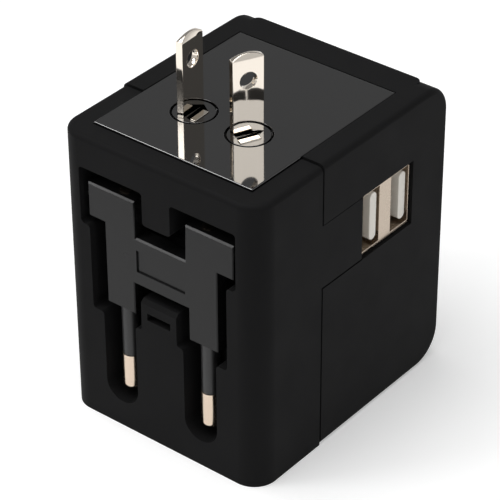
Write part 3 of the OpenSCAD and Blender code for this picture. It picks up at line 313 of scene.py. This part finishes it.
def object_from(bm, name, material):
    """Puts a bmesh into the scene as an object with one material."""
    mesh = bpy.data.meshes.new(name)
    bm.to_mesh(mesh)
    bm.free()
    made = bpy.data.objects.new(name, mesh)
    bpy.context.scene.collection.objects.link(made)
    mesh.materials.append(material)
    return made


def rim_edges(bm, way):
    """Long edges around the outermost face that looks one way, with a deep side behind them."""
    level = max(vert.co.dot(way) for vert in bm.verts)
    rim = []
    for edge in bm.edges:
        sunk = level - min(vert.co.dot(way) for vert in edge.verts)
        if edge.calc_length() < RIM_LEAST or sunk > SAME_LEVEL:
            continue
        for face in edge.link_faces:
            depth = level - min(vert.co.dot(way) for vert in face.verts)
            if abs(face.normal.dot(way)) < SIDEWAYS and depth > RIM_LEAST:
                rim.append(edge)
                break
    if not rim:
        raise RuntimeError("no rim to bevel")
    return rim


def corner_edges(bm, way):
    """Edges that run straight back from the outermost face, at the corners of what is cut into it."""
    level = max(vert.co.dot(way) for vert in bm.verts)
    corners = []
    for edge in bm.edges:
        run = edge.verts[1].co - edge.verts[0].co
        straight = abs(run.dot(way)) > max(CORNER_LEAST, STRAIGHT * run.length)
        sunk = level - max(vert.co.dot(way) for vert in edge.verts)
        if straight and sunk < SAME_LEVEL and edge.calc_face_angle(0.0) > SQUARE_TURN:
            corners.append(edge)
    if not corners:
        raise RuntimeError("no corners to round")
    return corners


def softened(node, body, material, edge, chamfer=0.0, corner=0.0, way=TOP):
    """A copy of a CAD node with its doubles merged, its flats cleaned and its edges rounded.

    A chamfer is a crisp bevel along the rim of the face that looks the given way, and a corner
    is the radius of the corners of what is cut into that face.
    """
    bm = bmesh.new()
    bm.from_mesh(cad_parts[node].data)
    bmesh.ops.remove_doubles(bm, verts=bm.verts, dist=MERGE_WITHIN)
    bmesh.ops.dissolve_degenerate(bm, edges=bm.edges, dist=SLIVER)
    bmesh.ops.dissolve_limit(
        bm, angle_limit=math.radians(FLAT_ANGLE), verts=bm.verts, edges=bm.edges,
        use_dissolve_boundaries=False, delimit=set())
    for face in bm.faces:
        face.smooth = True
    if corner:
        bmesh.ops.bevel(
            bm, geom=corner_edges(bm, way), offset=corner, segments=CORNER_SEGMENTS, profile=0.5,
            affect="EDGES", material=-1, clamp_overlap=True)
    if chamfer:
        cut = bmesh.ops.bevel(
            bm, geom=rim_edges(bm, way), offset=chamfer, segments=1, profile=0.5,
            affect="EDGES", material=-1)
        for face in cut["faces"]:
            face.smooth = False
    piece = object_from(bm, node + "_rounded", material)
    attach(piece, body)
    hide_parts(node)
    rounding = piece.modifiers.new("edge rounds", "BEVEL")
    rounding.width = edge
    rounding.segments = ROUND_SEGMENTS
    rounding.limit_method = "ANGLE"
    rounding.angle_limit = math.radians(ROUND_ANGLE)
    rounding.use_clamp_overlap = True
    rounding.harden_normals = False
    rounding.miter_outer = "MITER_ARC"
    shade = piece.modifiers.new("flat faces shade flat", "WEIGHTED_NORMAL")
    shade.keep_sharp = True


def dress(nodes, material):
    """Gives CAD nodes that are shown as they are their finish."""
    for node in nodes:
        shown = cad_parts[node]
        shown.data.materials.clear()
        shown.data.materials.append(material)


# ---------------------------------------------------------------- pieces

class ADAPTER_OT_case(bpy.types.Operator):
    """Both shells, the glossy plate, and the socket plate with its wells"""
    bl_idname = "adapter.case"
    bl_label = "Case"

    def execute(self, context):
        finishes = context.scene.adapter_finishes
        edges = context.scene.adapter_edges
        matte = moulded_plastic("case_black", finishes.case_colour, finishes.case_roughness, sheen=0.04)
        gloss = glossy_plastic("plate_gloss_black", finishes.gloss_colour, roughness=0.03)
        base = moulded_plastic("base_black", colour=(0.013, 0.013, 0.0135), roughness=0.5)
        softened("front_shell", "case", matte, edges.case_edge,
                 corner=edges.recess_corner, way=FRONT)
        softened("rear_shell", "case", matte, edges.case_edge,
                 corner=edges.recess_corner, way=REAR)
        softened("prong_plate", "case", gloss, edges.fine_edge,
                 chamfer=edges.plate_rim, way=TOP)
        for node in ("socket_plate", "socket_well_left", "socket_well_right", "socket_well_earth"):
            softened(node, "case", base, edges.case_edge)
        return {"FINISHED"}


class ADAPTER_OT_prongs(bpy.types.Operator):
    """Flat prongs and their discs"""
    bl_idname = "adapter.prongs"
    bl_label = "Prongs"

    def execute(self, context):
        finishes = context.scene.adapter_finishes
        edges = context.scene.adapter_edges
        nickel = plated_metal("prong_nickel", finishes.nickel_colour, roughness=0.06, grain_depth=0.000001)
        disc = glossy_plastic("disc_gloss_black", finishes.gloss_colour, roughness=0.05)
        for side in ("left", "right"):
            body = side + "_turner"
            softened(side + "_prong", body, nickel, edges.fine_edge)
            softened(side + "_disc", body, disc, edges.fine_edge)
        return {"FINISHED"}


class ADAPTER_OT_folding_plugs(bpy.types.Operator):
    """Round-pin plug in front and British plug behind"""
    bl_idname = "adapter.folding_plugs"
    bl_label = "Folding plugs"

    def execute(self, context):
        finishes = context.scene.adapter_finishes
        edges = context.scene.adapter_edges
        satin = moulded_plastic("frame_black", finishes.frame_colour, finishes.frame_roughness, sheen=0.20)
        sleeve = moulded_plastic("sleeve_black", colour=(0.012, 0.012, 0.0125), roughness=0.4)
        pin = plated_metal("pin_nickel", finishes.pin_colour, roughness=0.2)
        softened("eu_frame", "eu_plug", satin, edges.frame_edge,
                 chamfer=edges.frame_rim, way=FRONT)
        softened("uk_frame", "uk_plug", satin, edges.frame_edge)
        softened("uk_earth_pin", "uk_earth", satin, edges.frame_edge)
        softened("uk_pins", "uk_plug", pin, edges.fine_edge)
        softened("uk_sleeves", "uk_plug", sleeve, edges.fine_edge)
        dress(["eu_sleeves"], sleeve)
        dress(["eu_pins"], pin)
        return {"FINISHED"}


class ADAPTER_OT_usb_outlet(bpy.types.Operator):
    """Metal outlet shell with its tongues and contacts"""
    bl_idname = "adapter.usb_outlet"
    bl_label = "USB outlet"

    def execute(self, context):
        finishes = context.scene.adapter_finishes
        edges = context.scene.adapter_edges
        shell = plated_metal("outlet_nickel", finishes.outlet_colour, roughness=0.25)
        ivory = moulded_plastic("tongue_ivory", finishes.tongue_colour, roughness=0.4)
        gold = plated_metal("contact_gold", finishes.brass_colour, roughness=0.25)
        softened("usb_shell", "case", shell, edges.fine_edge)
        softened("usb_tongues", "case", ivory, edges.tongue_edge)
        dress(["usb_contacts"], gold)
        return {"FINISHED"}


class ADAPTER_OT_inner_parts(bpy.types.Operator):
    """Deck, contacts, fuse, circuit board and fasteners"""
    bl_idname = "adapter.inner_parts"
    bl_label = "Inner parts"

    def execute(self, context):
        finishes = context.scene.adapter_finishes
        brass = plated_metal("contact_brass", finishes.brass_colour, roughness=0.3)
        steel = plated_metal("fastener_steel", colour=(0.46, 0.46, 0.45), roughness=0.3)
        deck = moulded_plastic("deck_grey", colour=(0.05, 0.05, 0.053), roughness=0.5)
        milk = moulded_plastic("shutter_white", colour=(0.62, 0.60, 0.55), roughness=0.45)
        board = two_tone("board_green", first=(0.012, 0.09, 0.035), second=(0.016, 0.12, 0.045),
                         roughness=0.35, scale=700.0)
        ferrite = moulded_plastic("ferrite_grey", colour=(0.045, 0.042, 0.04), roughness=0.6)
        tape = two_tone("winding_tape", first=(0.52, 0.36, 0.05), second=(0.60, 0.42, 0.07),
                        roughness=0.3, scale=90.0)
        can = two_tone("capacitor_sleeve", first=(0.012, 0.02, 0.09), second=(0.015, 0.025, 0.11),
                       roughness=0.3, scale=90.0)
        chip = moulded_plastic("chip_black", colour=(0.012, 0.012, 0.012), roughness=0.5)
        glass = two_tone("fuse_tube", first=(0.66, 0.67, 0.65), second=(0.72, 0.73, 0.71),
                         roughness=0.12, scale=200.0)
        dress(["left_busbar", "right_busbar", "eu_contacts", "uk_contacts", "socket_contact_left",
               "socket_contact_right", "fuse_clips"], brass)
        dress(["case_screws", "carrier_screws", "left_disc_clip", "right_disc_clip", "eu_axles",
               "uk_axles", "uk_earth_axle", "shutter_spring"], steel)
        dress(["inner_frame", "prong_carrier"], deck)
        dress(["shutter"], milk)
        dress(["circuit_board"], board)
        dress(["transformer_core"], ferrite)
        dress(["transformer_coil"], tape)
        dress(["capacitors"], can)
        dress(["power_chips"], chip)
        dress(["fuse"], glass)
        return {"FINISHED"}


# ---------------------------------------------------------------- stage

def white_floor(stage):
    """Pale floor under the adapter."""
    bm = bmesh.new()
    bmesh.ops.create_grid(bm, x_segments=1, y_segments=1, size=FLOOR_HALF)
    white = glowing_white("floor_white", stage.floor_colour, stage.floor_glow, sheen=0.2)
    floor = object_from(bm, "floor", white)


def white_wall(stage):
    """Low round wall that closes the horizon in level views."""
    bm = bmesh.new()
    bmesh.ops.create_cone(bm, segments=WALL_SEGMENTS, radius1=WALL_RADIUS, radius2=WALL_RADIUS,
                          depth=WALL_HEIGHT, matrix=Matrix.Translation((0, 0, WALL_MIDDLE)))
    white = glowing_white("backdrop_white", stage.floor_colour, stage.wall_glow)
    backdrop = object_from(bm, "backdrop", white)


def even_room(stage):
    """The same level of light from all round."""
    world = bpy.data.worlds.new("studio")
    world.use_nodes = True
    bpy.context.scene.world = world
    room = world.node_tree.nodes["Background"]
    room.inputs["Color"].default_value = (1, 1, 1, 1)
    room.inputs["Strength"].default_value = stage.room_level


def soft_box(name, place, size, power, aim_height):
    """Square lamp that points at a height on the adapter's upright axis."""
    light = bpy.data.lights.new(name, "AREA")
    light.shape = "SQUARE"
    light.size = size
    light.energy = power
    lamp = bpy.data.objects.new(name, light)
    bpy.context.scene.collection.objects.link(lamp)
    aim = Vector((0, 0, aim_height)) - Vector(place)
    lamp.matrix_world = Matrix.Translation(place) @ aim.to_track_quat("-Z", "Y").to_matrix().to_4x4()


def studio_camera(stage):
    """Long lens that looks down at the front and the right side."""
    lens = bpy.data.cameras.new("camera")
    lens.sensor_width = 36.0
    lens.lens = stage.camera_lens
    lens.clip_start = 0.01
    lens.clip_end = 20.0
    camera = bpy.data.objects.new("camera", lens)
    bpy.context.scene.collection.objects.link(camera)
    right = Vector(stage.camera_right).normalized()
    back = Vector(stage.camera_back).normalized()
    up = back.cross(right).normalized()
    turn = Matrix((right, up, back)).transposed()
    camera.matrix_world = Matrix.Translation(stage.camera_place) @ turn.to_4x4()
    bpy.context.scene.camera = camera


class ADAPTER_OT_stage(bpy.types.Operator):
    """Pale floor, soft studio light and camera"""
    bl_idname = "adapter.stage"
    bl_label = "Stage"

    def execute(self, context):
        stage = context.scene.adapter_stage
        white_floor(stage)
        white_wall(stage)
        even_room(stage)
        soft_box("key_box", stage.key_place, stage.key_size, stage.key_power, aim_height=0.04)
        soft_box("fill_box", stage.fill_place, stage.fill_size, stage.fill_power, aim_height=0.05)
        soft_box("side_box", stage.side_place, stage.side_size, stage.side_power, aim_height=0.06)
        studio_camera(stage)
        context.scene.view_settings.view_transform = "Standard"
        return {"FINISHED"}


# ---------------------------------------------------------------- panel

class ADAPTER_PT_panel(bpy.types.Panel):
    """Buttons and settings of the adapter"""
    bl_idname = "ADAPTER_PT_panel"
    bl_label = "Travel adapter"
    bl_space_type = "VIEW_3D"
    bl_region_type = "UI"
    bl_category = "Adapter"

    def draw(self, context):
        layout = self.layout
        for operator in OPERATORS:
            layout.operator(operator.bl_idname)
        for group in ("adapter_finishes", "adapter_edges", "adapter_stage"):
            settings = getattr(context.scene, group)
            for name in settings.bl_rna.properties.keys():
                if name not in ("rna_type", "name"):
                    layout.prop(settings, name)


OPERATORS = (ADAPTER_OT_case, ADAPTER_OT_prongs, ADAPTER_OT_folding_plugs, ADAPTER_OT_usb_outlet,
             ADAPTER_OT_inner_parts, ADAPTER_OT_stage)
CLASSES = (AdapterFinishes, AdapterEdges, AdapterStage, *OPERATORS, ADAPTER_PT_panel)


def register():
    for cls in CLASSES:
        bpy.utils.register_class(cls)
    bpy.types.Scene.adapter_finishes = bpy.props.PointerProperty(type=AdapterFinishes)
    bpy.types.Scene.adapter_edges = bpy.props.PointerProperty(type=AdapterEdges)
    bpy.types.Scene.adapter_stage = bpy.props.PointerProperty(type=AdapterStage)


def unregister():
    del bpy.types.Scene.adapter_stage
    del bpy.types.Scene.adapter_edges
    del bpy.types.Scene.adapter_finishes
    for cls in reversed(CLASSES):
        bpy.utils.unregister_class(cls)


def main():
    register()
    bpy.ops.adapter.case()
    bpy.ops.adapter.prongs()
    bpy.ops.adapter.folding_plugs()
    bpy.ops.adapter.usb_outlet()
    bpy.ops.adapter.inner_parts()
    bpy.ops.adapter.stage()
    bpy.context.view_layer.update()


if __name__ == "__main__":
    main()
